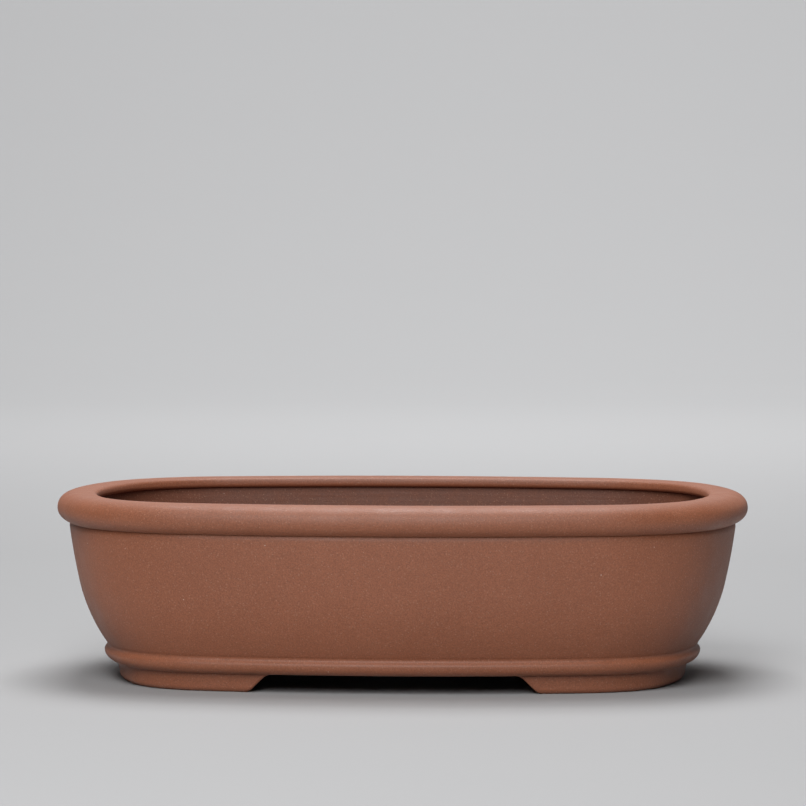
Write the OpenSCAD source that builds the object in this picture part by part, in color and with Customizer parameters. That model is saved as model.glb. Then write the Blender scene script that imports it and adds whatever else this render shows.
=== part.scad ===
// Oval bonsai pot of unglazed stoneware, put together the way clay slabs are: a floor slab, a side
// wall on its edge, a rolled rim over the wall, a belt over the seam and two feet underneath, with
// a mesh screen and a bent-wire clip at each drain hole.
// The origin is on the ground under the middle of the pot, +X along its length and +Z up.
// The plan is an oval of eight arcs: two long sides, two ends and four corners. A section is drawn
// as [inset from the rim's outermost line, height] and swept round that oval.

/* [Plan of the rim] */
// Overall length
pot_l = 305; // [300:1:310]
// Overall width
pot_w = 232; // [229:1:235]
// Plan radius of the two long sides
side_r = 395; // [385:1:405]
// Half of the angle that each long side's arc turns through
side_a = 13.1; // [12.8:0.1:13.4]
// Half of the angle that each end's arc turns through
end_a = 20.3; // [19.8:0.1:20.8]

/* [Heights] */
// Overall height
pot_h = 82; // [80:0.5:86]
// Height of the feet
foot_h = 8; // [7:0.5:9]
// Thickness of the floor slab
slab_t = 7.2; // [6.8:0.1:7.6]

/* [Side wall] */
// Thickness of the wall
wall_t = 9.5; // [8:0.5:10]
// Inset of the wall where it comes out from under the rim
neck_inset = 5.1; // [4.5:0.1:5.5]
// Depth of that place below the top of the pot
neck_drop = 12.9; // [12.5:0.1:13.1]
// Lean of the wall from upright at the neck
neck_lean = 7.2; // [6.5:0.1:8]
// Lean where the upper curve passes into the lower one
waist_lean = 12.5; // [12:0.1:13]
// Radius of the upper curve of the wall
upper_r = 285; // [275:1:295]
// Radius of the lower curve of the wall
lower_r = 75.5; // [74:0.5:77]
// Radius of the cove between the wall and the floor
cove_r = 8; // [6:0.5:10]

/* [Rim] */
// Width of the rim from outside to inside
rim_w = 17.5; // [17:0.1:18.5]
// Depth of the rim's outermost line below the top
rim_drop = 7; // [6.8:0.1:7.1]
// Height of the rounded underside below that line
under_h = 6.3; // [6.2:0.1:6.7]
// Half width of that rounded underside
under_w = 8; // [7.8:0.1:8.4]
// Inset of the highest line of the rim
crest_inset = 9.5; // [8.5:0.1:10.5]
// Depth of the rim's inner edge below the top
inner_drop = 3; // [2.5:0.1:3.5]
// Inset at which the rolled inner edge ends under the rim
curl_inset = 14.6; // [14.4:0.1:15.4]

/* [Belt] */
// Inset of the belt's outermost line
belt_inset = 20.7; // [20.5:0.1:20.9]
// Radius of the belt's rounded underside
belt_r = 5.8; // [5.4:0.1:6]
// Height of the rounding on the belt's top edge
belt_top_r = 1.2; // [1:0.1:1.4]
// How far the belt reaches above the seam of wall and slab
belt_lap = 0.4; // [0.3:0.1:0.6]
// Inset of the slab's lower edge behind the belt
slab_inset = 27.5; // [27.2:0.1:28]

/* [Feet] */
// Inset of the feet at their top
foot_inset = 26.4; // [26:0.1:26.8]
// Inset of the upright face just above the rounded edge
foot_taper = 0.9; // [0.6:0.1:1.2]
// Thickness of the feet
foot_w = 12; // [11:0.5:14]
// Radius of the outer lower edge of the feet
foot_r = 3; // [2.5:0.1:3.5]
// Radius of the inner lower edge of the feet
foot_in_r = 1.4; // [1:0.1:2]
// Length of the gap between the feet on the ground
gap_l = 127; // [120:1:132]
// Length of that gap under the slab
gap_top_l = 106; // [104:1:108]
// Radius of the curves at the top and bottom of the gap's ends
gap_r = 6.6; // [6:0.1:7]
// Steepest slope of the gap's ends
gap_slope = 45; // [42:1:48]
// Slope at which they meet the ground and the slab
gap_ease = 15; // [12:1:18]

/* [Holes in the floor] */
// Diameter of the two drain holes
drain_d = 24; // [24:0.5:25]
// Distance of each drain hole from the middle
drain_x = 80; // [76:1:83]
// Diameter of the four holes for tie wires
tie_d = 6; // [5:0.5:7]
// Distance of the tie-wire holes from the middle, along the pot
tie_x = 92; // [90:1:96]
// Distance of the tie-wire holes from the middle, across the pot
tie_y = 36; // [30:1:40]

/* [Screens and clips] */
// Spacing of the mesh
mesh_pitch = 4.5; // [4.4:0.1:4.6]
// Number of openings along each side of a screen
mesh_n = 9; // [9:2:11]
// Width of a mesh strand
strand_w = 1; // [0.8:0.1:1]
// Thickness of the mesh
mesh_t = 1.5; // [1.4:0.1:1.5]
// Diameter of the clip wire
wire_d = 2; // [1.8:0.1:2]
// Radius of the wire's right-angle bends, at its middle
bend_r = 1.8; // [1.8:0.05:2]
// Gap between the bent-out wire ends and the slab above them
wire_gap = 0.1; // [0.1:0.1:0.5]
// Distance from a hole's middle to the ends of the wire
wire_reach = 20; // [16:1:22]

/* [Hidden] */
$fn = 180;
past = 1; // how far a cut runs past what it cuts

// Radii of the end and corner arcs that let all eight arcs meet in line, from two linear equations
half_l = pot_l / 2;
half_w = pot_w / 2;
end_share = [1 - cos(end_a), cos(end_a) - sin(side_a), half_l - side_r * sin(side_a)];
side_share = [sin(end_a), cos(side_a) - sin(end_a), half_w - side_r * (1 - cos(side_a))];
share = end_share[0] * side_share[1] - end_share[1] * side_share[0];
end_r = (end_share[2] * side_share[1] - end_share[1] * side_share[2]) / share;
corner_r = (end_share[0] * side_share[2] - end_share[2] * side_share[0]) / share;
side_c = [0, half_w - side_r];
end_c = [half_l - end_r, 0];
corner_c = [(side_r - corner_r) * sin(side_a), (end_r - corner_r) * sin(end_a)];

// Heights of the main lines
slab_top = foot_h + slab_t;
belt_top = slab_top + belt_lap;
neck_z = pot_h - neck_drop;
rim_z = pot_h - rim_drop;
inner_z = pot_h - inner_drop;
seat_z = neck_z + 8.1; // top of the wall, inside the rim

// Centres of the wall's two curves, and where a curve of the wall crosses a height
upper_c = [neck_inset, neck_z] + upper_r * [cos(neck_lean), sin(neck_lean)];
lower_c = upper_c - (upper_r - lower_r) * [cos(waist_lean), sin(waist_lean)];
function lean_at(centre, r, z) = asin((centre.y - z) / r);
belt_lean = lean_at(lower_c, lower_r, belt_top);
belt_edge = lower_c - lower_r * [cos(belt_lean), sin(belt_lean)];
slab_edge = [slab_inset, foot_h];
seam = belt_edge + (slab_edge - belt_edge) * belt_lap / (belt_top - foot_h);

// Points on part of an ellipse, and on part of a wall curve from one lean to another
function arc(centre, rx, rz, from, to, steps) = [
    for (i = [0:steps])
        let (a = from + (to - from) * i / steps)
            centre + [rx * cos(a), rz * sin(a)]
];
function lean_arc(centre, r, from, to, steps) = arc(centre, r, r, 180 + from, 180 + to, steps);

// Moves by a vector in three steps, from coarse to fine, so that no digit of it is lost and
// neighbouring arcs meet exactly
module shift(v) {
    whole = [for (t = v) floor(t)];
    part = [for (t = v - whole) floor(t * 1000) / 1000];
    translate(whole) translate(part) translate(v - whole - part) children();
}

// Sweeps a section of [inset, height] points round one arc of the plan
module sweep_arc(centre, r, from, to, section)
    shift([centre.x, centre.y, 0])
        rotate_extrude(angle = to - from, start = from)
            shift([r, 0])
                polygon([for (p = section) [-p.x, p.y]]);

// Sweeps a section round the whole oval
module sweep_oval(section) {
    for (s = [0, 1]) {
        mirror([0, s, 0])
            sweep_arc(side_c, side_r, 90 - side_a, 90 + side_a, section);
        mirror([s, 0, 0]) {
            sweep_arc(end_c, end_r, -end_a, end_a, section);
            for (t = [0, 1])
                mirror([0, t, 0])
                    sweep_arc(corner_c, corner_r, end_a, 90 - side_a, section);
        }
    }
}

module clay() { color("#86543f") children(); }

// Rolled rim, with a step underneath that sits on the wall and laps down over its outer face
module rim_lip() {
    under_from = 180 + acos(1 - neck_inset / under_w);
    under_c = [under_w, rim_z];
    lap = arc(under_c, under_w, under_h, under_from, 180, 6);
    clay()
        sweep_oval(concat(
            [[neck_inset, seat_z]],
            lap,
            arc([crest_inset, rim_z], crest_inset, rim_drop, 180, 90, 8),
            arc([crest_inset, inner_z], rim_w - crest_inset, inner_drop, 90, 0, 8),
            arc([curl_inset, inner_z], rim_w - curl_inset, inner_z - seat_z, 0, -90, 4)
        ));
}

// Side wall, curved in two stages outside and inside, with a cove at its foot
module side_wall() {
    cove_c_z = slab_top + cove_r;
    cove_lean = lean_at(lower_c, lower_r - wall_t - cove_r, cove_c_z);
    cove_c = lower_c - (lower_r - wall_t - cove_r) * [cos(cove_lean), sin(cove_lean)];
    cove_stop = 75;
    cove_foot = [cove_c.x - cove_r * cos(cove_stop), slab_top];
    seat_lean = lean_at(upper_c, upper_r - wall_t, seat_z);
    clay()
        sweep_oval(concat(
            [seam],
            lean_arc(lower_c, lower_r, belt_lean, waist_lean, 6),
            lean_arc(upper_c, upper_r, waist_lean - 1, neck_lean, 3),
            [[neck_inset, seat_z]],
            lean_arc(upper_c, upper_r - wall_t, seat_lean, waist_lean, 4),
            lean_arc(lower_c, lower_r - wall_t, waist_lean + 4, cove_lean, 5),
            lean_arc(cove_c, cove_r, cove_lean + 7, cove_stop, 4),
            [cove_foot]
        ));
}

// Belt that covers the seam between the wall and the slab
module belt()
    clay()
        sweep_oval(concat(
            [slab_edge],
            arc([belt_inset + belt_r, foot_h + belt_r], belt_r, belt_r, 270, 180, 6),
            arc([belt_edge.x, belt_top - belt_top_r], belt_edge.x - belt_inset, belt_top_r, 180, 90, 4)
        ));

// Floor slab: a swept border with the eight-sided middle inside it, then the holes
module floor_slab() {
    border_to = 60;
    middle_inset = 40;
    quarter = [
        end_c + (end_r - middle_inset) * [cos(end_a), sin(end_a)],
        side_c + (side_r - middle_inset) * [sin(side_a), cos(side_a)]
    ];
    flips = [[1, 1], [-1, 1], [-1, -1], [1, -1]];
    middle = [
        for (f = flips)
            for (p = f.x * f.y > 0 ? quarter : [quarter[1], quarter[0]])
                [f.x * p.x, f.y * p.y]
    ];
    clay()
        difference() {
            union() {
                sweep_oval([seam, slab_edge, [border_to, foot_h], [border_to, slab_top]]);
                translate([0, 0, foot_h])
                    linear_extrude(height = slab_t)
                        polygon(middle);
            }
            for (sx = [-1, 1]) {
                translate([sx * drain_x, 0, foot_h - past])
                    cylinder(d = drain_d, h = slab_t + 2 * past);
                for (sy = [-1, 1])
                    translate([sx * tie_x, sy * tie_y, foot_h - past])
                        cylinder(d = tie_d, h = slab_t + 2 * past);
            }
        }
}

// One of the two feet: half of an oval ring, cut away along the middle of the pot. The gap's ends
// curve out of the slab, run down at a steady slope and curve out onto the ground.
module foot(side) {
    low_inset = foot_inset + foot_taper;
    in_inset = foot_inset + foot_w;
    low_c = [gap_l / 2 + gap_r * sin(gap_ease), gap_r * cos(gap_ease)];
    high_c = [gap_top_l / 2 - gap_r * sin(gap_ease), foot_h - gap_r * cos(gap_ease)];
    low_curve = arc(low_c, gap_r, gap_r, 270 - gap_ease, 270 - gap_slope, 4);
    high_curve = arc(high_c, gap_r, gap_r, 90 - gap_slope, 90 - gap_ease, 4);
    clay()
        difference() {
            sweep_oval(concat(
                [[foot_inset, foot_h]],
                arc([low_inset + foot_r, foot_r], foot_r, foot_r, 180, 270, 5),
                arc([in_inset - foot_in_r, foot_in_r], foot_in_r, foot_in_r, 270, 360, 4),
                [[in_inset, foot_h]]
            ));
            rotate([90, 0, 0])
                linear_extrude(height = pot_w, center = true)
                    scale([side, 1])
                        polygon(concat(
                            [[-half_l, -past], [gap_l / 2, -past]],
                            low_curve,
                            high_curve,
                            [[gap_top_l / 2, foot_h + past], [-half_l, foot_h + past]]
                        ));
        }
}
module foot_left() { foot(-1); }
module foot_right() { foot(1); }

// Square of moulded mesh that lies on the floor over a drain hole
module drain_screen(side) {
    mesh_w = mesh_n * mesh_pitch + strand_w;
    first = (1 - mesh_n) / 2 * mesh_pitch;
    hole_w = mesh_pitch - strand_w;
    color("#1f2022")
        translate([side * drain_x, 0, slab_top])
            difference() {
                translate([-mesh_w / 2, -mesh_w / 2, 0])
                    cube([mesh_w, mesh_w, mesh_t]);
                for (i = [0:mesh_n - 1])
                    for (j = [0:mesh_n - 1])
                        translate([
                            first + i * mesh_pitch - hole_w / 2,
                            first + j * mesh_pitch - hole_w / 2,
                            -past
                        ])
                            cube([hole_w, hole_w, mesh_t + 2 * past]);
            }
}
module drain_screen_left() { drain_screen(-1); }
module drain_screen_right() { drain_screen(1); }

// Pieces of the clip's wire: straight along X, straight up, bent in plan, bent in the XZ plane
module wire_along(from, to, y, z)
    translate([from, y, z])
        rotate([0, 90, 0])
            cylinder(d = wire_d, h = to - from, $fn = 32);
module wire_up(x, y, from, to)
    translate([x, y, from])
        cylinder(d = wire_d, h = to - from, $fn = 32);
module wire_turn(x, y, z, r, from, angle)
    translate([x, y, z])
        rotate_extrude(start = from, angle = angle, $fn = 64)
            translate([r, 0])
                circle(d = wire_d, $fn = 32);
module wire_bend(x, y, z, from)
    translate([x, y, z])
        rotate([90, 0, 0])
            wire_turn(0, 0, 0, bend_r, from, 90);

// Clip of one wire: both ends go down through the mesh and the drain hole and are bent out under
// the slab. Above the mesh the wire makes a loop at each end, joined by an S across the middle.
// One half is drawn, and the other is the same half turned round. The left clip mirrors the right.
module screen_clip(side) {
    loop_r = mesh_pitch;
    leg_x = 2 * mesh_pitch;
    bend_x = leg_x + bend_r;
    loop_x = leg_x + 6;
    low_z = foot_h - wire_gap - wire_d / 2;
    high_z = slab_top + mesh_t + wire_d / 2;
    color("#5b4636")
        mirror([side < 0 ? 1 : 0, 0, 0])
            translate([drain_x, 0, 0])
                for (turn = [0, 180])
                    rotate([0, 0, turn]) {
                        wire_along(-wire_reach, -bend_x, -loop_r, low_z);
                        wire_bend(-bend_x, -loop_r, low_z + bend_r, 270);
                        wire_up(-leg_x, -loop_r, low_z + bend_r, high_z - bend_r);
                        wire_bend(-bend_x, -loop_r, high_z - bend_r, 0);
                        wire_along(-loop_x, -bend_x, -loop_r, high_z);
                        wire_turn(-loop_x, 0, high_z, loop_r, 90, 180);
                        wire_along(-loop_x, -loop_r, loop_r, high_z);
                        wire_turn(-loop_r, 0, high_z, loop_r, 0, 90);
                    }
}
module screen_clip_left() { screen_clip(-1); }
module screen_clip_right() { screen_clip(1); }

rim_lip();
side_wall();
belt();
floor_slab();
foot_left();
foot_right();
drain_screen_left();
drain_screen_right();
screen_clip_left();
screen_clip_right();
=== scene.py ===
import math

import bmesh
import bpy
from mathutils import Euler, Matrix, Vector, geometry, noise


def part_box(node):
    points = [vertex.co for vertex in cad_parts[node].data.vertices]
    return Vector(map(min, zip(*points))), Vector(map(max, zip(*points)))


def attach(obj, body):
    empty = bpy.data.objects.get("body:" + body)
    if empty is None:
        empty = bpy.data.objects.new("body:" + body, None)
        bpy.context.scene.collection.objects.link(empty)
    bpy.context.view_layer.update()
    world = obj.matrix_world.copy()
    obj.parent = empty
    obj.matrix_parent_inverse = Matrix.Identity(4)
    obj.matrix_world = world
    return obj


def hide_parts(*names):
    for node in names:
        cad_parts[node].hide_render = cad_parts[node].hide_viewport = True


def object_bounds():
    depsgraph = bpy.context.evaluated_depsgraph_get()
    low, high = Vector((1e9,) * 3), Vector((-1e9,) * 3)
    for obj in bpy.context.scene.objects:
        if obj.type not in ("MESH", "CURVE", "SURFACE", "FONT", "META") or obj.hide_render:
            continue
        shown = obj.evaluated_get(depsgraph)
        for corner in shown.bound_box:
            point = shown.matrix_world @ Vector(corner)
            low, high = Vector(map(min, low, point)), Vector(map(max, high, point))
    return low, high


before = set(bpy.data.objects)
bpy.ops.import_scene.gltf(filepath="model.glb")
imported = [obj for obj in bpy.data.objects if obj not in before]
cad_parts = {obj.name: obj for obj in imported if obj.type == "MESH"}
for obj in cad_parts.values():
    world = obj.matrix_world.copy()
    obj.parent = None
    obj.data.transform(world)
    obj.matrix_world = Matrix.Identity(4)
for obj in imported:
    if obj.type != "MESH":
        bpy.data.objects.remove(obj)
cadLow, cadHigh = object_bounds()
mm = 0.001
print("frame loaded:", len(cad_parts), "solids")


def heightsOf(node):
    low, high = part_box(node)
    return low.z / mm, high.z / mm


def linearColour(hexCode):
    parts = [int(hexCode[i:i + 2], 16) / 255 for i in (1, 3, 5)]
    return [c / 12.92 if c <= 0.04045 else ((c + 0.055) / 1.055) ** 2.4 for c in parts] + [1.0]


def newMaterial(name):
    material = bpy.data.materials.new(name)
    material.use_nodes = True
    material.node_tree.nodes.clear()
    return material, material.node_tree


def addNode(tree, kind, inputs, **settings):
    # inputs takes a plain value, or the output socket that feeds it
    node = tree.nodes.new(kind)
    for key, value in settings.items():
        setattr(node, key, value)
    for key, value in inputs.items():
        if isinstance(value, bpy.types.NodeSocket):
            tree.links.new(value, node.inputs[key])
        else:
            node.inputs[key].default_value = value
    return node


def buildPiece(name, points, faces, materials, nodes):
    # points are in millimetres, and each face is (corner numbers, material number)
    mesh = bpy.data.meshes.new(name)
    mesh.from_pydata([Vector(p) * mm for p in points], [], [corners for corners, _ in faces])
    for material in materials:
        mesh.materials.append(material)
    mesh.polygons.foreach_set("material_index", [number for _, number in faces])
    outward = bmesh.new()
    outward.from_mesh(mesh)
    bmesh.ops.recalc_face_normals(outward, faces=outward.faces)
    outward.to_mesh(mesh)
    outward.free()
    mesh.shade_smooth()
    mesh.set_sharp_from_angle(angle=math.radians(38))
    piece = bpy.data.objects.new(name, mesh)
    bpy.context.scene.collection.objects.link(piece)
    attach(piece, "root")
    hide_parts(*nodes)
    return piece


# the pot is an oval of eight arcs, and every clay section is swept round it, in millimetres
plan = {
    "length": (cadHigh.x - cadLow.x) / mm,
    "width": (cadHigh.y - cadLow.y) / mm,
    "sideRadius": 395.0,
    "sideTurn": math.radians(13.1),  # half of what a long side turns through
    "endTurn": math.radians(20.3),  # half of what an end turns through
    "stationGap": 1.6,  # spacing of the swept sections
}


def solvePlan(p):
    # end and corner radii that let the eight arcs meet in line
    halfLength, halfWidth = p["length"] / 2, p["width"] / 2
    sinSide, cosSide = math.sin(p["sideTurn"]), math.cos(p["sideTurn"])
    sinEnd, cosEnd = math.sin(p["endTurn"]), math.cos(p["endTurn"])
    a, b, c = 1 - cosEnd, cosEnd - sinSide, halfLength - p["sideRadius"] * sinSide
    d, e, f = sinEnd, cosSide - sinEnd, halfWidth - p["sideRadius"] * (1 - cosSide)
    share = a * e - b * d
    p["endRadius"] = (c * e - b * f) / share
    p["cornerRadius"] = (a * f - c * d) / share
    p["sideCentre"] = halfWidth - p["sideRadius"]
    p["endCentre"] = halfLength - p["endRadius"]
    p["cornerX"] = (p["sideRadius"] - p["cornerRadius"]) * sinSide
    p["cornerY"] = (p["endRadius"] - p["cornerRadius"]) * sinEnd


solvePlan(plan)


def ovalArcs():
    # (centre x, centre y, radius, from angle, to angle), once round from the +X end
    side, end, half = plan["sideTurn"], plan["endTurn"], math.pi / 2
    arcs = []
    for turn, signX in ((0, 1), (math.pi, -1)):
        flip = -1 if turn else 1
        arcs.append((signX * plan["endCentre"], 0, plan["endRadius"], turn - end, turn + end))
        arcs.append((signX * plan["cornerX"], flip * plan["cornerY"], plan["cornerRadius"],
                     turn + end, turn + half - side))
        arcs.append((0, flip * plan["sideCentre"], plan["sideRadius"],
                     turn + half - side, turn + half + side))
        arcs.append((-signX * plan["cornerX"], flip * plan["cornerY"], plan["cornerRadius"],
                     turn + half + side, turn + math.pi - end))
    return arcs


def ovalStations():
    stations = []
    for x, y, radius, start, stop in ovalArcs():
        steps = max(2, round(radius * (stop - start) / plan["stationGap"]))
        for i in range(steps):
            angle = start + (stop - start) * i / steps
            stations.append((x, y, radius, math.cos(angle), math.sin(angle)))
    return stations


def placeOn(station, inset, height):
    x, y, radius, cosine, sine = station
    return Vector((x + (radius - inset) * cosine, y + (radius - inset) * sine, height))


def arcPoints(centre, acrossRadius, upRadius, start, stop, steps):
    angles = [math.radians(start + (stop - start) * i / steps) for i in range(steps + 1)]
    return [(centre[0] + acrossRadius * math.cos(a), centre[1] + upRadius * math.sin(a)) for a in angles]


def unevenClay(point, depth):
    # hand-finished clay wanders a little, and only ever inwards from the true surface
    broad = noise.noise(point / 47)
    narrow = noise.noise(point / 13 + Vector((5, 9, 2)))
    return depth * (0.5 + 0.38 * broad + 0.12 * narrow)


def sweepOval(name, section, materials, nodes, inside=lambda inset, height: False, uneven=0.12):
    # section is a closed loop of (inset, height), and inside picks the points of the second material
    stations = ovalStations()
    count = len(section)
    middle = [sum(p[0] for p in section) / count, sum(p[1] for p in section) / count]
    points = []
    for station in stations:
        for inset, height in section:
            point = placeOn(station, inset, height)
            away = Vector((inset - middle[0], height - middle[1])).normalized()
            sink = unevenClay(point, uneven)
            points.append(placeOn(station, inset - away.x * sink, height - away.y * sink))
    faces = []
    for i in range(len(stations)):
        following = (i + 1) % len(stations)
        for j in range(count):
            beside = (j + 1) % count
            insetHere = (section[j][0] + section[beside][0]) / 2
            heightHere = (section[j][1] + section[beside][1]) / 2
            corners = (i * count + j, following * count + j, following * count + beside, i * count + beside)
            faces.append((corners, 1 if inside(insetHere, heightHere) else 0))
    return buildPiece(name, points, faces, materials, nodes)


clayColours = {
    "body": "#8c553c",  # fired red-brown iron clay
    "pale": "#96624a",  # where the fine clay was wiped off the sand
    "deep": "#78462f",  # where the kiln reduced it a little more
    "sand": "#ae8670",  # buff sand grains in the surface
    "white": "#d9c8ba",  # the few quartz grains
    "inside": "#6a4131",  # painted shade: the inside is coloured darker than the outside for the shade within the pot
}
clayGrain = {
    "tone": 70.0,  # size in mm of the broad changes of tone
    "cloud": 9.0,  # size of the smaller ones
    "tooth": 0.55,  # size of the fine tooth of the surface
    "sandGap": 1.25,  # spacing of the sand grains
    "sandSize": 0.46,
    "whiteGap": 13.0,  # spacing of the quartz grains
    "whiteSize": 0.42,
}


def stoneware(name, baseColour, roughness, toothDepth, wipeMarks):
    # Unglazed iron-bearing stoneware: a dry, matt red-brown skin with fine buff sand standing in it,
    # which gives a soft pinkish sheen only where light grazes it. Distances are in real millimetres.
    material, tree = newMaterial(name)
    place = addNode(tree, "ShaderNodeTexCoord", {}).outputs["Object"]
    tone = addNode(tree, "ShaderNodeTexNoise", {
        "Vector": place, "Scale": 1 / (clayGrain["tone"] * mm), "Detail": 3.0, "Roughness": 0.55})
    cloud = addNode(tree, "ShaderNodeTexNoise", {
        "Vector": place, "Scale": 1 / (clayGrain["cloud"] * mm), "Detail": 4.0, "Roughness": 0.6})
    tooth = addNode(tree, "ShaderNodeTexNoise", {
        "Vector": place, "Scale": 1 / (clayGrain["tooth"] * mm), "Detail": 2.0, "Roughness": 0.6})
    sand = addNode(tree, "ShaderNodeTexVoronoi", {
        "Vector": place, "Scale": 1 / (clayGrain["sandGap"] * mm)})
    white = addNode(tree, "ShaderNodeTexVoronoi", {
        "Vector": place, "Scale": 1 / (clayGrain["whiteGap"] * mm)})

    toneShare = addNode(tree, "ShaderNodeMapRange", {
        "Value": tone.outputs[0], "From Min": 0.35, "From Max": 0.68, "To Max": 0.25})
    toned = addNode(tree, "ShaderNodeMix", {
        0: toneShare.outputs[0], 6: linearColour(baseColour), 7: linearColour(clayColours["deep"])},
        data_type="RGBA")
    cloudShare = addNode(tree, "ShaderNodeMapRange", {
        "Value": cloud.outputs[0], "From Min": 0.42, "From Max": 0.75, "To Max": 0.16})
    clouded = addNode(tree, "ShaderNodeMix", {
        0: cloudShare.outputs[0], 6: toned.outputs[2], 7: linearColour(clayColours["pale"])},
        data_type="RGBA")
    toothShare = addNode(tree, "ShaderNodeMapRange", {
        "Value": tooth.outputs[0], "From Min": 0.35, "From Max": 0.65, "To Min": 0.82, "To Max": 1.16})
    toothed = addNode(tree, "ShaderNodeVectorMath", {
        0: clouded.outputs[2], "Scale": toothShare.outputs[0]}, operation="SCALE")

    # a grain shows where the surface cuts through its ball, and each grain has its own strength
    sandEdge = clayGrain["sandSize"] / 2 / clayGrain["sandGap"]
    sandSpot = addNode(tree, "ShaderNodeMapRange", {
        "Value": sand.outputs["Distance"], "From Min": sandEdge * 0.6, "From Max": sandEdge * 1.7,
        "To Min": 1.0, "To Max": 0.0})
    sandPick = addNode(tree, "ShaderNodeSeparateColor", {0: sand.outputs["Color"]})
    sandStrength = addNode(tree, "ShaderNodeMapRange", {
        "Value": sandPick.outputs[0], "From Min": 0.0, "From Max": 1.0, "To Min": 0.08, "To Max": 0.42})
    sandMask = addNode(tree, "ShaderNodeMath", {
        0: sandSpot.outputs[0], 1: sandStrength.outputs[0]}, operation="MULTIPLY")
    sanded = addNode(tree, "ShaderNodeMix", {
        0: sandMask.outputs[0], 6: toothed.outputs[0], 7: linearColour(clayColours["sand"])},
        data_type="RGBA")
    whiteEdge = clayGrain["whiteSize"] / 2 / clayGrain["whiteGap"]
    whiteSpot = addNode(tree, "ShaderNodeMapRange", {
        "Value": white.outputs["Distance"], "From Min": whiteEdge * 0.7, "From Max": whiteEdge * 1.5,
        "To Min": 0.6, "To Max": 0.0})
    coloured = addNode(tree, "ShaderNodeMix", {
        0: whiteSpot.outputs[0], 6: sanded.outputs[2], 7: linearColour(clayColours["white"])},
        data_type="RGBA")

    toothHeight = addNode(tree, "ShaderNodeMath", {0: tooth.outputs[0], 1: 0.55}, operation="MULTIPLY")
    grainHeight = addNode(tree, "ShaderNodeMath", {
        0: sandMask.outputs[0], 1: 0.9, 2: toothHeight.outputs[0]}, operation="MULTIPLY_ADD")
    height = addNode(tree, "ShaderNodeMath", {
        0: cloud.outputs[0], 1: 0.8, 2: grainHeight.outputs[0]}, operation="MULTIPLY_ADD").outputs[0]
    if wipeMarks:
        # strokes of the wiping sponge run level round the pot
        stretched = addNode(tree, "ShaderNodeMapping", {0: place, "Scale": (14.0, 14.0, 420.0)})
        strokes = addNode(tree, "ShaderNodeTexNoise", {
            "Vector": stretched.outputs[0], "Scale": 1.0, "Detail": 3.0, "Roughness": 0.5})
        height = addNode(tree, "ShaderNodeMath", {
            0: strokes.outputs[0], 1: wipeMarks, 2: height}, operation="MULTIPLY_ADD").outputs[0]
    bump = addNode(tree, "ShaderNodeBump", {
        "Strength": 1.0, "Distance": toothDepth * mm, "Height": height})
    rough = addNode(tree, "ShaderNodeMapRange", {
        "Value": cloud.outputs[0], "From Min": 0.3, "From Max": 0.7,
        "To Min": roughness - 0.05, "To Max": roughness + 0.06})
    skin = addNode(tree, "ShaderNodeBsdfPrincipled", {
        "Base Color": coloured.outputs[2], "Roughness": rough.outputs[0], "IOR": 1.5,
        "Diffuse Roughness": 0.6, "Normal": bump.outputs[0]})
    addNode(tree, "ShaderNodeOutputMaterial", {"Surface": skin.outputs[0]})
    return material


spongedStoneware = stoneware("sponged unglazed stoneware", clayColours["body"], 0.57, 0.16, 0.0)
# the inside finish is rougher and wiped in level strokes, and its darker colour is painted shade within the
# pot
rawShadedStoneware = stoneware("unsponged stoneware inside, painted shade", clayColours["inside"], 0.68, 0.22, 1.6)
print("stoneware finishes made")


# heights come from the solids' own boxes
slabLow, slabTop = heightsOf("floor_slab")
beltLow, beltTop = heightsOf("belt")
rimLow, rimTop = heightsOf("rim_lip")
wallLow, wallTop = heightsOf("side_wall")

wall = {
    "thickness": 9.5,
    "neckInset": 5.1,
    "neckLean": 7.2,
    "waistLean": 12.5,
    "upperRadius": 285.0,
    "lowerRadius": 75.5,
    "coveRadius": 8.0,
    "grooveHeight": 2.1,  # the tool's groove right under the rim
    "grooveDepth": 0.6,
    "footTuck": 0.3,  # how far the hidden foot runs down behind the slab's edge
    "rawDepth": 3.0,  # the unsponged finish, with its painted shade, starts this far in from the outer face
}
upperCentre = (
    wall["neckInset"] + wall["upperRadius"] * math.cos(math.radians(wall["neckLean"])),
    rimLow + wall["upperRadius"] * math.sin(math.radians(wall["neckLean"])),
)
lowerCentre = (
    upperCentre[0] - (wall["upperRadius"] - wall["lowerRadius"]) * math.cos(math.radians(wall["waistLean"])),
    upperCentre[1] - (wall["upperRadius"] - wall["lowerRadius"]) * math.sin(math.radians(wall["waistLean"])),
)


def leanAt(centre, radius, height):
    return math.degrees(math.asin((centre[1] - height) / radius))


def leanPoints(centre, radius, start, stop, steps):
    return arcPoints(centre, radius, radius, 180 + start, 180 + stop, steps)


def wallInset(height):
    lean = leanAt(lowerCentre, wall["lowerRadius"], height)
    return lowerCentre[0] - wall["lowerRadius"] * math.cos(math.radians(lean))


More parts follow.
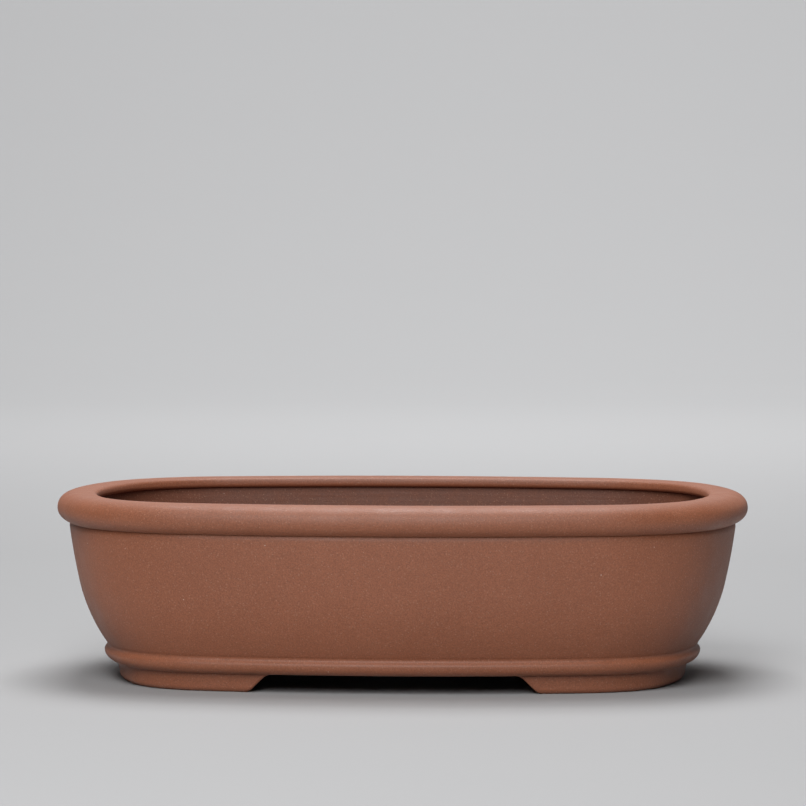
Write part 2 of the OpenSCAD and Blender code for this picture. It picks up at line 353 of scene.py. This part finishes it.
def makeSideWall():
    inner = wall["thickness"]
    coveRing = wall["lowerRadius"] - inner - wall["coveRadius"]
    coveLean = leanAt(lowerCentre, coveRing, slabTop + wall["coveRadius"])
    coveCentre = (lowerCentre[0] - coveRing * math.cos(math.radians(coveLean)),
                  slabTop + wall["coveRadius"])
    outer = leanPoints(lowerCentre, wall["lowerRadius"],
                       leanAt(lowerCentre, wall["lowerRadius"], beltTop), wall["waistLean"], 22)
    grooveLow = rimLow - wall["grooveHeight"]
    grooveLean = leanAt(upperCentre, wall["upperRadius"], grooveLow)
    outer += leanPoints(upperCentre, wall["upperRadius"], wall["waistLean"], grooveLean, 18)[1:]
    lip = outer[-1][0]
    outer += [(lip + wall["grooveDepth"] * (i / 8) ** 2, grooveLow + (wall["grooveHeight"] + 0.2) * i / 8)
              for i in range(1, 9)]
    innerFace = leanPoints(upperCentre, wall["upperRadius"] - inner,
                           leanAt(upperCentre, wall["upperRadius"] - inner, wallTop),
                           wall["waistLean"], 20)
    innerFace += leanPoints(lowerCentre, wall["lowerRadius"] - inner, wall["waistLean"], coveLean, 16)[1:]
    cove = leanPoints(coveCentre, wall["coveRadius"], coveLean, 88, 10)[1:]
    section = outer + [(outer[-1][0], wallTop)] + innerFace + cove
    footLow = slabTop - wall["footTuck"]
    section += [(cove[-1][0], footLow), (wallInset(beltTop) + 1, footLow)]
    split = wall["neckInset"] + 1
    return sweepOval("Side_wall", section, [spongedStoneware, rawShadedStoneware], ["side_wall"],
                     inside=lambda inset, height: inset > max(split, outerInset(height) + wall["rawDepth"]))


def outerInset(height):
    if height > lowerCentre[1] - wall["lowerRadius"] * math.sin(math.radians(wall["waistLean"])):
        lean = leanAt(upperCentre, wall["upperRadius"], min(height, rimLow))
        return upperCentre[0] - wall["upperRadius"] * math.cos(math.radians(lean))
    return wallInset(height)


rim = {
    "width": 17.5,
    "widestHeight": rimTop - 7.0,
    "underHeight": 6.3,  # of the rounded underside
    "underWidth": 8.0,
    "crestInset": 9.5,
    "innerHeight": rimTop - 3.0,
    "curlInset": 14.6,  # where the rolled inner edge ends underneath
    "outerShoulder": 0.88,  # 1 is a true ellipse, and less is tighter
    "innerShoulder": 0.52,
}


def makeRimLip():
    lapStart = 180 + math.degrees(math.acos(1 - wall["neckInset"] / rim["underWidth"]))
    section = arcPoints((rim["underWidth"], rim["widestHeight"]), rim["underWidth"], rim["underHeight"],
                        lapStart, 180, 16)
    # both shoulders are tighter than a true ellipse, the inner one more so
    rise = rimTop - rim["widestHeight"]
    for i in range(1, 25):
        a = math.radians(90 * i / 24)
        section.append((rim["crestInset"] - rim["crestInset"] * math.cos(a) ** rim["outerShoulder"],
                        rim["widestHeight"] + rise * math.sin(a) ** rim["outerShoulder"]))
    wide, tall = rim["width"] - rim["crestInset"], rimTop - rim["innerHeight"]
    for i in range(1, 21):
        a = math.radians(90 * i / 20)
        section.append((rim["crestInset"] + wide * math.sin(a) ** rim["innerShoulder"],
                        rim["innerHeight"] + tall * math.cos(a) ** rim["innerShoulder"]))
    section += arcPoints((rim["curlInset"], rim["innerHeight"]), rim["width"] - rim["curlInset"],
                         rim["innerHeight"] - wallTop, 0, -90, 8)[1:]
    hidden = wall["neckInset"] + wall["grooveDepth"] + 0.5
    section += [(hidden, wallTop - 0.2), (hidden, rimLow + 0.4)]
    return sweepOval("Rim_lip", section, [spongedStoneware], ["rim_lip"])


beltShape = {
    "outermost": 20.7,
    "underReach": 5.8,  # how far in the rounded underside runs
    "underRadius": 4.5,  # and its height
    "shoulder": 1.5,  # how far the shoulder rises above the outermost line
    "slipReach": 0.3,  # how far the slip is smeared up the wall
    "hollow": 2.2,  # length of the soft hollow below that
    "tuckIn": 0.6,  # the hidden side's place behind and below the wall's face
    "tuckDown": 0.4,
    "slabInset": 27.5,
}


def curvePoints(a, b, c, d, steps):
    return [tuple(p) for p in geometry.interpolate_bezier(
        Vector((*a, 0)), Vector((*b, 0)), Vector((*c, 0)), Vector((*d, 0)), steps + 1)]


def makeBelt():
    # the seam is smeared with slip, so the wall runs into the belt in one soft hollow
    outermost, radius = beltShape["outermost"], beltShape["underRadius"]
    slipTop = beltTop + beltShape["slipReach"]
    start = (wallInset(slipTop) - 0.03, slipTop)
    lean = math.radians(leanAt(lowerCentre, wall["lowerRadius"], slipTop))
    widest = (outermost, beltLow + radius)
    section = [(beltShape["slabInset"], beltLow)]
    reach = beltShape["underReach"]
    section += arcPoints((outermost + reach, beltLow + radius), reach, radius, 270, 180, 18)
    length = beltShape["hollow"]
    hollow = curvePoints(widest, (outermost, widest[1] + beltShape["shoulder"]),
                         (start[0] + math.sin(lean) * length, start[1] - math.cos(lean) * length), start, 14)
    section += [(x, z) for x, z, _ in hollow[1:]]
    tuckIn, tuckDown = beltShape["tuckIn"], beltShape["tuckDown"]
    section += [(wallInset(slipTop - tuckDown) + tuckIn, slipTop - tuckDown),
                (wallInset(beltTop) + tuckIn, beltTop - tuckDown)]
    return sweepOval("Belt", section, [spongedStoneware], ["belt"])


makeSideWall()
makeRimLip()
makeBelt()
print("wall, rim and belt swept")


feet = {
    "inset": 26.4,
    "taper": 0.9,
    "thickness": 12.0,
    "outerRound": 3.0,
    "innerRound": 1.4,
    "gapOnGround": 127.0,
    "gapUnderSlab": 106.0,
    "gapCurve": 6.6,
    "gapSlope": math.radians(45),
    "gapEase": math.radians(15),
    "endRound": 1.1,  # softness of the edges round the gap's ends
    "columns": 8,
    "sideSections": 26,
}


def gapEnd(height):
    # half the gap's length at a height: a curve off the ground, a steady slope, a curve to the slab
    curve, ease, slope = feet["gapCurve"], feet["gapEase"], feet["gapSlope"]
    top = slabLow - height
    rise = curve * (math.cos(ease) - math.cos(slope))
    if height < rise:
        lean = math.acos(math.cos(ease) - height / curve)
        return feet["gapOnGround"] / 2 + curve * (math.sin(ease) - math.sin(lean))
    if top < rise:
        lean = math.acos(math.cos(ease) - top / curve)
        return feet["gapUnderSlab"] / 2 - curve * (math.sin(ease) - math.sin(lean))
    low = feet["gapOnGround"] / 2 + curve * (math.sin(ease) - math.sin(slope))
    high = feet["gapUnderSlab"] / 2 - curve * (math.sin(ease) - math.sin(slope))
    return low + (high - low) * (height - rise) / (slabLow - 2 * rise)


def footEdges():
    # matching points down the outer face and down the inner face
    inset, out, inner = feet["inset"], feet["outerRound"], feet["innerRound"]
    low = inset + feet["taper"]
    back = inset + feet["thickness"]
    outer = [(inset + (low - inset) * i / 8, slabLow + (out - slabLow) * i / 8) for i in range(9)]
    outer += arcPoints((low + out, out), out, out, 180, 270, 9)[1:]
    innerEdge = [(back, slabLow + (inner - slabLow) * i / 8) for i in range(9)]
    innerEdge += arcPoints((back - inner, inner), inner, inner, 0, -90, 9)[1:]
    return outer, innerEdge


def footLoop(pinch):
    # one section of a foot as rows of points from outside to inside, pinched at its two ends
    outer, inner = footEdges()
    rows = []
    for (outInset, outHeight), (inInset, inHeight) in zip(outer, inner):
        row = []
        for i in range(feet["columns"] + 1):
            share = i / feet["columns"]
            inset = outInset + pinch + (inInset - outInset - 2 * pinch) * share
            row.append((inset, outHeight + (inHeight - outHeight) * share))
        rows.append(row)
    return rows


def makeFoot(name, side, node):
    # sections run from the front gap round the end of the pot to the back gap
    angles = []
    for x, y, radius, start, stop in ovalArcs()[-1:] + ovalArcs()[:2]:
        steps = max(2, round(radius * (stop - start) / plan["stationGap"]))
        angles += [(x, y, radius, start + (stop - start) * i / steps) for i in range(steps)]
    ends = [math.radians(a) for a in (0, 15, 30, 45, 60, 75, 90)]
    sideSteps = feet["sideSections"]
    points, loops, faces = [], [], []

    def addSection(place, pinch):
        loops.append(len(points))
        for row in footLoop(pinch):
            for inset, height in row:
                points.append(place(inset, height))

    def alongSide(sign, share, slack):
        # share 1 is at the gap's end, and 0 where the side's arc meets the corner's
        def place(inset, height):
            radius = plan["sideRadius"] - inset
            reach = gapEnd(height) + slack
            limit = math.asin(min(1, reach / radius))
            turn = plan["sideTurn"] + (limit - plan["sideTurn"]) * share
            return Vector((radius * math.sin(turn), sign * (plan["sideCentre"] + radius * math.cos(turn)),
                           height))
        return place

    slackTop = feet["endRound"] * 1.3
    for a in reversed(ends):
        addSection(alongSide(-1, 1, slackTop * (1 - math.sin(a))), feet["endRound"] * (1 - math.cos(a)))
    for i in range(sideSteps - 1, 0, -1):
        addSection(alongSide(-1, i / sideSteps, slackTop), 0)
    for x, y, radius, angle in angles:
        station = (x, y, radius, math.cos(angle), math.sin(angle))
        addSection(lambda inset, height, s=station: placeOn(s, inset, height), 0)
    for i in range(0, sideSteps):
        addSection(alongSide(1, i / sideSteps, slackTop), 0)
    for a in ends:
        addSection(alongSide(1, 1, slackTop * (1 - math.sin(a))), feet["endRound"] * (1 - math.cos(a)))
    points = [Vector((side * p.x, p.y, p.z)) for p in points]

    wide = feet["columns"] + 1
    tall = len(footEdges()[0])
    outline = [(0, c) for c in range(wide)] + [(r, wide - 1) for r in range(1, tall)]
    outline += [(tall - 1, c) for c in range(wide - 2, -1, -1)] + [(r, 0) for r in range(tall - 2, 0, -1)]
    for here, following in zip(loops, loops[1:]):
        for (rowA, colA), (rowB, colB) in zip(outline, outline[1:] + outline[:1]):
            a, b = rowA * wide + colA, rowB * wide + colB
            faces.append(((here + a, following + a, following + b, here + b), 0))
    for first in (loops[0], loops[-1]):
        for r in range(tall - 1):
            for c in range(wide - 1):
                corner = first + r * wide + c
                faces.append(((corner, corner + 1, corner + wide + 1, corner + wide), 0))
    # the points inside each section are left out
    used = {}
    for corners, _ in faces:
        for corner in corners:
            used.setdefault(corner, len(used))
    kept = [None] * len(used)
    for old, new in used.items():
        kept[new] = points[old]
    faces = [(tuple(used[c] for c in corners), number) for corners, number in faces]
    return buildPiece(name, kept, faces, [spongedStoneware], [node])


makeFoot("Foot_right", 1, "foot_right")
makeFoot("Foot_left", -1, "foot_left")
print("feet made")


slab = {
    "edgeTop": 22.4,
    "edgeLow": 27.5,
    "drainRadius": 12.0,
    "drainX": 80.0,
    "tieRadius": 3.0,
    "tieX": 92.0,
    "tieY": 36.0,
    "drainRound": 1.6,  # the cut edges were softened with a wet finger
    "tieRound": 0.9,
    "lattice": 4.0,  # spacing of the points across the flat faces
    "uneven": 0.25,
}


def holeRings(x, y, radius, rounding, sides):
    # rings of points from the flat top, over the rounded edge, down the hole and out underneath
    profile = [(radius + rounding * 2.2, slabTop)]
    profile += [(radius + rounding * (1 - math.sin(a)), slabTop - rounding * (1 - math.cos(a)))
                for a in (math.radians(9 * i) for i in range(11))]
    lower = [(r, slabTop + slabLow - z) for r, z in reversed(profile)]
    rings = []
    for r, z in profile + lower:
        rings.append([Vector((x + r * math.cos(2 * math.pi * i / sides),
                              y + r * math.sin(2 * math.pi * i / sides), z)) for i in range(sides)])
    return rings


def fillLevel(loops, insideTest):
    # triangles between the outline and the holes, with a lattice of points so that none is long
    flat, edges = [], []
    for loop in loops:
        first = len(flat)
        flat += [p.xy for p in loop]
        edges += [(first + i, first + (i + 1) % len(loop)) for i in range(len(loop))]
    step = slab["lattice"]
    across = int(plan["length"] / 2 / step)
    for i in range(-across, across + 1):
        for j in range(-across, across + 1):
            spot = Vector((step * (i + 0.5 * (j % 2)), step * 0.87 * j))
            if insideTest(spot, step * 0.6):
                flat.append(spot)
    result = geometry.delaunay_2d_cdt(flat, edges, [], 0, 1e-6)
    spots, triangles = result[0], result[2]
    return spots, [t for t in triangles if insideTest((spots[t[0]] + spots[t[1]] + spots[t[2]]) / 3, 0)]


def makeFloorSlab():
    holes = [(sx * slab["drainX"], 0, slab["drainRadius"], slab["drainRound"], 72) for sx in (-1, 1)]
    holes += [(sx * slab["tieX"], sy * slab["tieY"], slab["tieRadius"], slab["tieRound"], 36)
              for sx in (-1, 1) for sy in (-1, 1)]
    rings = [holeRings(*hole) for hole in holes]
    stations = ovalStations()
    points, faces = [], []

    def insetOf(spot):
        # how far a point of the plan lies inside the rim's outermost line
        x, y = abs(spot.x), abs(spot.y)
        bearing = math.atan2(y - plan["cornerY"], x - plan["cornerX"])
        if plan["endTurn"] <= bearing <= math.pi / 2 - plan["sideTurn"]:
            return plan["cornerRadius"] - math.hypot(x - plan["cornerX"], y - plan["cornerY"])
        fromEnd = plan["endRadius"] - math.hypot(x - plan["endCentre"], y)
        fromSide = plan["sideRadius"] - math.hypot(x, y - plan["sideCentre"])
        return min(fromEnd, fromSide)

    for low, edge in ((False, slab["edgeTop"]), (True, slab["edgeLow"])):
        level = slabLow if low else slabTop
        outline = [placeOn(s, edge, level) for s in stations[::2]]
        loops = [outline] + [hole[-1 if low else 0] for hole in rings]

        def insideTest(spot, margin, edge=edge):
            clear = all(math.hypot(spot.x - x, spot.y - y) > radius + rounding * 2.2 + margin - 1e-3
                        for x, y, radius, rounding, _ in holes)
            return clear and insetOf(spot) > edge + margin - 1e-3

        flat, triangles = fillLevel(loops, insideTest)
        first = len(points)
        for p in flat:
            sink = unevenClay(Vector((p.x, p.y, level)), slab["uneven"]) if insideTest(p, 1.5) else 0
            points.append(Vector((p.x, p.y, level + (sink if low else -sink))))
        faces += [(tuple(first + c for c in t), 0) for t in triangles]
    for hole in rings:
        sides = len(hole[0])
        first = len(points)
        for ring in hole:
            points += ring
        for r in range(len(hole) - 1):
            for i in range(sides):
                a = first + r * sides + i
                b = first + r * sides + (i + 1) % sides
                faces.append(((a, b, b + sides, a + sides), 0))
    rimFirst = len(points)
    edges = [placeOn(s, slab["edgeTop"], slabTop) for s in stations[::2]]
    edges += [placeOn(s, slab["edgeLow"], slabLow) for s in stations[::2]]
    points += edges
    around = len(edges) // 2
    for i in range(around):
        a, b = rimFirst + i, rimFirst + (i + 1) % around
        faces.append(((a, b, b + around, a + around), 0))
    # the floor inside takes the darker inside colour, which is painted shade
    piece = buildPiece("Floor_slab", points, faces, [rawShadedStoneware], ["floor_slab"])
    weld = bmesh.new()
    weld.from_mesh(piece.data)
    bmesh.ops.remove_doubles(weld, verts=weld.verts, dist=0.002 * mm)
    bmesh.ops.recalc_face_normals(weld, faces=weld.faces)
    weld.to_mesh(piece.data)
    weld.free()
    return piece


makeFloorSlab()
print("floor slab made")


screen = {
    "pitch": 4.5,
    "openings": 9,
    "strand": 1.0,
    "colour": "#232426",
    "dust": "#6e5a50",  # clay dust in its corners
}


def blackPolythene():
    # Moulded black polythene: a dull waxy black with a soft broad shine and faint mould grain.
    material, tree = newMaterial("moulded black polythene")
    place = addNode(tree, "ShaderNodeTexCoord", {}).outputs["Object"]
    grain = addNode(tree, "ShaderNodeTexNoise", {"Vector": place, "Scale": 1 / (0.4 * mm), "Detail": 3.0})
    dust = addNode(tree, "ShaderNodeTexNoise", {"Vector": place, "Scale": 1 / (6 * mm), "Detail": 4.0})
    dustShare = addNode(tree, "ShaderNodeMapRange", {
        "Value": dust.outputs[0], "From Min": 0.45, "From Max": 0.8, "To Max": 0.22})
    dusted = addNode(tree, "ShaderNodeMix", {
        0: dustShare.outputs[0], 6: linearColour(screen["colour"]), 7: linearColour(screen["dust"])},
        data_type="RGBA")
    rough = addNode(tree, "ShaderNodeMapRange", {
        "Value": dust.outputs[0], "From Min": 0.3, "From Max": 0.7, "To Min": 0.38, "To Max": 0.55})
    bump = addNode(tree, "ShaderNodeBump", {
        "Strength": 1.0, "Distance": 0.03 * mm, "Height": grain.outputs[0]})
    skin = addNode(tree, "ShaderNodeBsdfPrincipled", {
        "Base Color": dusted.outputs[2], "Roughness": rough.outputs[0], "IOR": 1.51,
        "Normal": bump.outputs[0]})
    addNode(tree, "ShaderNodeOutputMaterial", {"Surface": skin.outputs[0]})
    return material


def makeScreen(name, node, material):
    # a lattice of square strands that subdivision rounds off, fuller where they cross
    low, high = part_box(node)
    middle = (low + high) / 2 / mm
    bottom, top = low.z / mm, high.z / mm
    half = (high.x - low.x) / 2 / mm
    lines = []
    for i in range(screen["openings"] + 1):
        centre = (i - screen["openings"] / 2) * screen["pitch"]
        lines += [max(-half, centre - screen["strand"] / 2), min(half, centre + screen["strand"] / 2)]
    count = len(lines)
    points = [(middle.x + x, middle.y + y, z) for z in (bottom, top) for y in lines for x in lines]
    faces = []

    def solid(i, j):
        return 0 <= i < count - 1 and 0 <= j < count - 1 and (i % 2 == 0 or j % 2 == 0)

    def at(i, j, level):
        return level * count * count + j * count + i

    for j in range(count - 1):
        for i in range(count - 1):
            if not solid(i, j):
                continue
            faces.append(((at(i, j, 0), at(i, j + 1, 0), at(i + 1, j + 1, 0), at(i + 1, j, 0)), 0))
            faces.append(((at(i, j, 1), at(i + 1, j, 1), at(i + 1, j + 1, 1), at(i, j + 1, 1)), 0))
            walls = (((i, j), (i + 1, j), (i, j - 1)), ((i + 1, j), (i + 1, j + 1), (i + 1, j)),
                     ((i + 1, j + 1), (i, j + 1), (i, j + 1)), ((i, j + 1), (i, j), (i - 1, j)))
            for a, b, neighbour in walls:
                if not solid(*neighbour):
                    faces.append(((at(*a, 0), at(*b, 0), at(*b, 1), at(*a, 1)), 0))
    piece = buildPiece(name, points, faces, [material], [node])
    for edge in piece.data.edges:
        edge.use_edge_sharp = False
    rounding = piece.modifiers.new("Rounded strands", "SUBSURF")
    rounding.levels = rounding.render_levels = 2
    return piece


polythene = blackPolythene()
makeScreen("Drain_screen_left", "drain_screen_left", polythene)
makeScreen("Drain_screen_right", "drain_screen_right", polythene)
print("drain screens made")


clip = {
    "wire": 2.0,
    "sides": 20,
    "bend": 1.8,
    "legX": 9.0,  # distances from the drain hole's middle
    "loop": 4.5,
    "loopX": 15.0,
    "reach": 20.0,
    "gapUnderSlab": 0.1,
    "colour": "#7a5b45",
    "worn": "#a88f78",  # where the pliers rubbed it
    "endPinch": 0.55,  # the cutters left each end a little flattened
}


def brownWire():
    # Brown anodised soft aluminium: a thin satin tint over metal, rubbed paler by the pliers.
    material, tree = newMaterial("brown anodised aluminium wire")
    place = addNode(tree, "ShaderNodeTexCoord", {}).outputs["Object"]
    rub = addNode(tree, "ShaderNodeTexNoise", {"Vector": place, "Scale": 1 / (3 * mm), "Detail": 4.0})
    lines = addNode(tree, "ShaderNodeTexNoise", {"Vector": place, "Scale": 1 / (0.3 * mm), "Detail": 2.0})
    share = addNode(tree, "ShaderNodeMapRange", {
        "Value": rub.outputs[0], "From Min": 0.5, "From Max": 0.78, "To Max": 0.7})
    tint = addNode(tree, "ShaderNodeMix", {
        0: share.outputs[0], 6: linearColour(clip["colour"]), 7: linearColour(clip["worn"])},
        data_type="RGBA")
    rough = addNode(tree, "ShaderNodeMapRange", {
        "Value": lines.outputs[0], "From Min": 0.3, "From Max": 0.7, "To Min": 0.34, "To Max": 0.5})
    bump = addNode(tree, "ShaderNodeBump", {
        "Strength": 1.0, "Distance": 0.015 * mm, "Height": lines.outputs[0]})
    skin = addNode(tree, "ShaderNodeBsdfPrincipled", {
        "Base Color": tint.outputs[2], "Metallic": 1.0, "Roughness": rough.outputs[0],
        "Normal": bump.outputs[0]})
    addNode(tree, "ShaderNodeOutputMaterial", {"Surface": skin.outputs[0]})
    return material


def bendRound(centre, axisA, axisB, radius, start, stop, steps):
    angles = [math.radians(start + (stop - start) * i / steps) for i in range(steps + 1)]
    return [Vector(centre) + (Vector(axisA) * math.cos(a) + Vector(axisB) * math.sin(a)) * radius
            for a in angles]


def clipRoute():
    # half of the wire, from its bent-out end under the slab to the middle of the S
    bend, legX, loop = clip["bend"], clip["legX"], clip["loop"]
    low = slabLow - clip["gapUnderSlab"] - clip["wire"] / 2
    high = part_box("drain_screen_left")[1].z / mm + clip["wire"] / 2
    alongX, up, alongY = (1, 0, 0), (0, 0, 1), (0, 1, 0)
    half = [Vector((-clip["reach"] + i * 1.3, -loop, low)) for i in range(7)]
    half += bendRound((-legX - bend, -loop, low + bend), alongX, up, bend, -90, 0, 8)
    half += [Vector((-legX, -loop, low + bend + (high - low - 2 * bend) * i / 6)) for i in range(1, 6)]
    half += bendRound((-legX - bend, -loop, high - bend), alongX, up, bend, 0, 90, 8)
    half += bendRound((-clip["loopX"], 0, high), alongX, alongY, loop, 270, 90, 28)
    half += [Vector((-clip["loopX"] + i * 1.3, loop, high)) for i in range(1, 8)]
    half += bendRound((-loop, 0, high), alongX, alongY, loop, 90, 6, 12)
    return half + [Vector((-p.x, -p.y, p.z)) for p in reversed(half)]


def makeClip(name, side, node, material):
    route = clipRoute()
    sides = clip["sides"]
    centreX = (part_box(node)[0].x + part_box(node)[1].x) / 2 / mm
    points, faces = [], []
    # frames carried along the wire, so that the tube never twists
    across = Vector((0, 1, 0))
    for i, spot in enumerate(route):
        ahead = (route[min(i + 1, len(route) - 1)] - route[max(i - 1, 0)]).normalized()
        across = (across - ahead * across.dot(ahead)).normalized()
        upright = ahead.cross(across)
        fromEnd = min(i, len(route) - 1 - i)
        pinch = 1.0 if fromEnd else clip["endPinch"]
        for k in range(sides):
            a = 2 * math.pi * k / sides
            offset = across * math.cos(a) + upright * math.sin(a) * pinch
            p = spot + offset * clip["wire"] / 2
            points.append((centreX + side * p.x, p.y, p.z))
    for i in range(len(route) - 1):
        for k in range(sides):
            a, b = i * sides + k, i * sides + (k + 1) % sides
            faces.append(((a, b, b + sides, a + sides), 0))
    faces.append((tuple(range(sides)), 0))
    faces.append((tuple(range((len(route) - 1) * sides, len(route) * sides)), 0))
    return buildPiece(name, points, faces, [material], [node])


wireFinish = brownWire()
makeClip("Screen_clip_left", -1, "screen_clip_left", wireFinish)
makeClip("Screen_clip_right", 1, "screen_clip_right", wireFinish)
print("clips bent")


studio = {
    "floorColour": "#a4a4a5",
    "mottle": "#9fa1a3",
    "floorRadius": 2.6,  # metres
    "ringGap": 0.35,
    "sweepRadius": 2.2,
    "wallHeight": 3.4,
    "airColour": "#f2f4f8",
    "airLight": 0.03,
}


def paleSweep():
    # Matt studio paper: pale and even, with the faintest mottling.
    material, tree = newMaterial("pale matt studio paper")
    place = addNode(tree, "ShaderNodeTexCoord", {}).outputs["Object"]
    mottle = addNode(tree, "ShaderNodeTexNoise", {"Vector": place, "Scale": 9.0, "Detail": 4.0})
    share = addNode(tree, "ShaderNodeMapRange", {
        "Value": mottle.outputs[0], "From Min": 0.3, "From Max": 0.7, "To Max": 0.08})
    tint = addNode(tree, "ShaderNodeMix", {
        0: share.outputs[0], 6: linearColour(studio["floorColour"]), 7: linearColour(studio["mottle"])},
        data_type="RGBA")
    skin = addNode(tree, "ShaderNodeBsdfPrincipled", {
        "Base Color": tint.outputs[2], "Roughness": 0.85, "Specular IOR Level": 0.2})
    addNode(tree, "ShaderNodeOutputMaterial", {"Surface": skin.outputs[0]})
    return material


def makeSweep():
    # floor, curved foot and wall in one sheet all round, so that every side has the same backdrop
    flat, curve, gap = studio["floorRadius"], studio["sweepRadius"], studio["ringGap"]
    profile = [(gap * i, 0.0) for i in range(1, int(flat / gap) + 1)]
    for i in range(17):
        a = math.radians(90 * i / 16)
        profile.append((flat + curve * math.sin(a), curve * (1 - math.cos(a))))
    profile.append((flat + curve, studio["wallHeight"]))
    sides = 96
    points = [(0.0, 0.0, 0.0)]
    for r, z in profile:
        points += [(r * math.cos(2 * math.pi * i / sides), r * math.sin(2 * math.pi * i / sides), z)
                   for i in range(sides)]
    faces = [(0, 1 + i, 1 + (i + 1) % sides) for i in range(sides)]
    for r in range(len(profile) - 1):
        for i in range(sides):
            a, b = 1 + r * sides + i, 1 + r * sides + (i + 1) % sides
            faces.append((a, a + sides, b + sides, b))
    mesh = bpy.data.meshes.new("Studio_sweep")
    mesh.from_pydata(points, [], faces)
    mesh.materials.append(paleSweep())
    mesh.shade_smooth()
    sweep = bpy.data.objects.new("Studio_sweep", mesh)
    bpy.context.scene.collection.objects.link(sweep)


makeSweep()

# places and sizes in metres, powers in watts
softboxes = {
    "Overhead": {"at": (0, 0, 1.2), "to": (0, 0, 0), "size": 0.6, "power": 7.0},
    "Overhead back": {"at": (-0.03, 0.5, 1.2), "to": (0, 0, 0.04), "size": 0.6, "power": 9.6},
    "Front high": {"at": (-0.2, -1.3, 1.2), "to": (0, 0, 0.04), "size": 0.7, "power": 16.0},
    "Front low": {"at": (-0.1, -2.1, 0.9), "to": (0, 0, 0.04), "size": 0.7, "power": 22.0},
    "Backdrop": {"at": (0, 2.2, 2.4), "to": (0, 4.6, 0.9), "size": 1.2, "power": 77.0},
    "Floor behind": {"at": (0, 0.9, 2.0), "to": (0, 2.2, 0), "size": 0.8, "power": 15.5, "spread": 100},
}
for name, box in softboxes.items():
    light = bpy.data.lights.new(name, "AREA")
    light.size = box["size"]
    light.energy = box["power"]
    light.spread = math.radians(box.get("spread", 180))
    lamp = bpy.data.objects.new(name, light)
    lamp.location = box["at"]
    lamp.rotation_euler = (Vector(box["to"]) - lamp.location).to_track_quat("-Z", "Y").to_euler()
    bpy.context.scene.collection.objects.link(lamp)

world = bpy.data.worlds.new("Studio air")
world.use_nodes = True
background = world.node_tree.nodes["Background"]
background.inputs["Color"].default_value = linearColour(studio["airColour"])
background.inputs["Strength"].default_value = studio["airLight"]
bpy.context.scene.world = world

view = {
    "azimuth": math.radians(2.75),
    "distance": 2.425,  # metres from the pot's middle
    "height": 0.235,
    "downward": math.radians(2.7),
    "roll": math.radians(0.1),
    "lens": 245.2,
}
camera = bpy.data.cameras.new("Camera")
camera.sensor_width = 36.0
camera.lens = view["lens"]
camera.clip_start, camera.clip_end = 0.05, 20.0
eye = bpy.data.objects.new("Camera", camera)
eye.location = (view["distance"] * math.sin(view["azimuth"]),
                -view["distance"] * math.cos(view["azimuth"]), view["height"])
aim = Euler((math.pi / 2 - view["downward"], 0, view["azimuth"])).to_matrix()
eye.rotation_euler = (aim @ Matrix.Rotation(view["roll"], 3, "Z")).to_euler()
bpy.context.scene.collection.objects.link(eye)
bpy.context.scene.camera = eye
bpy.context.scene.view_settings.view_transform = "Standard"
print("stage, lights and camera set")
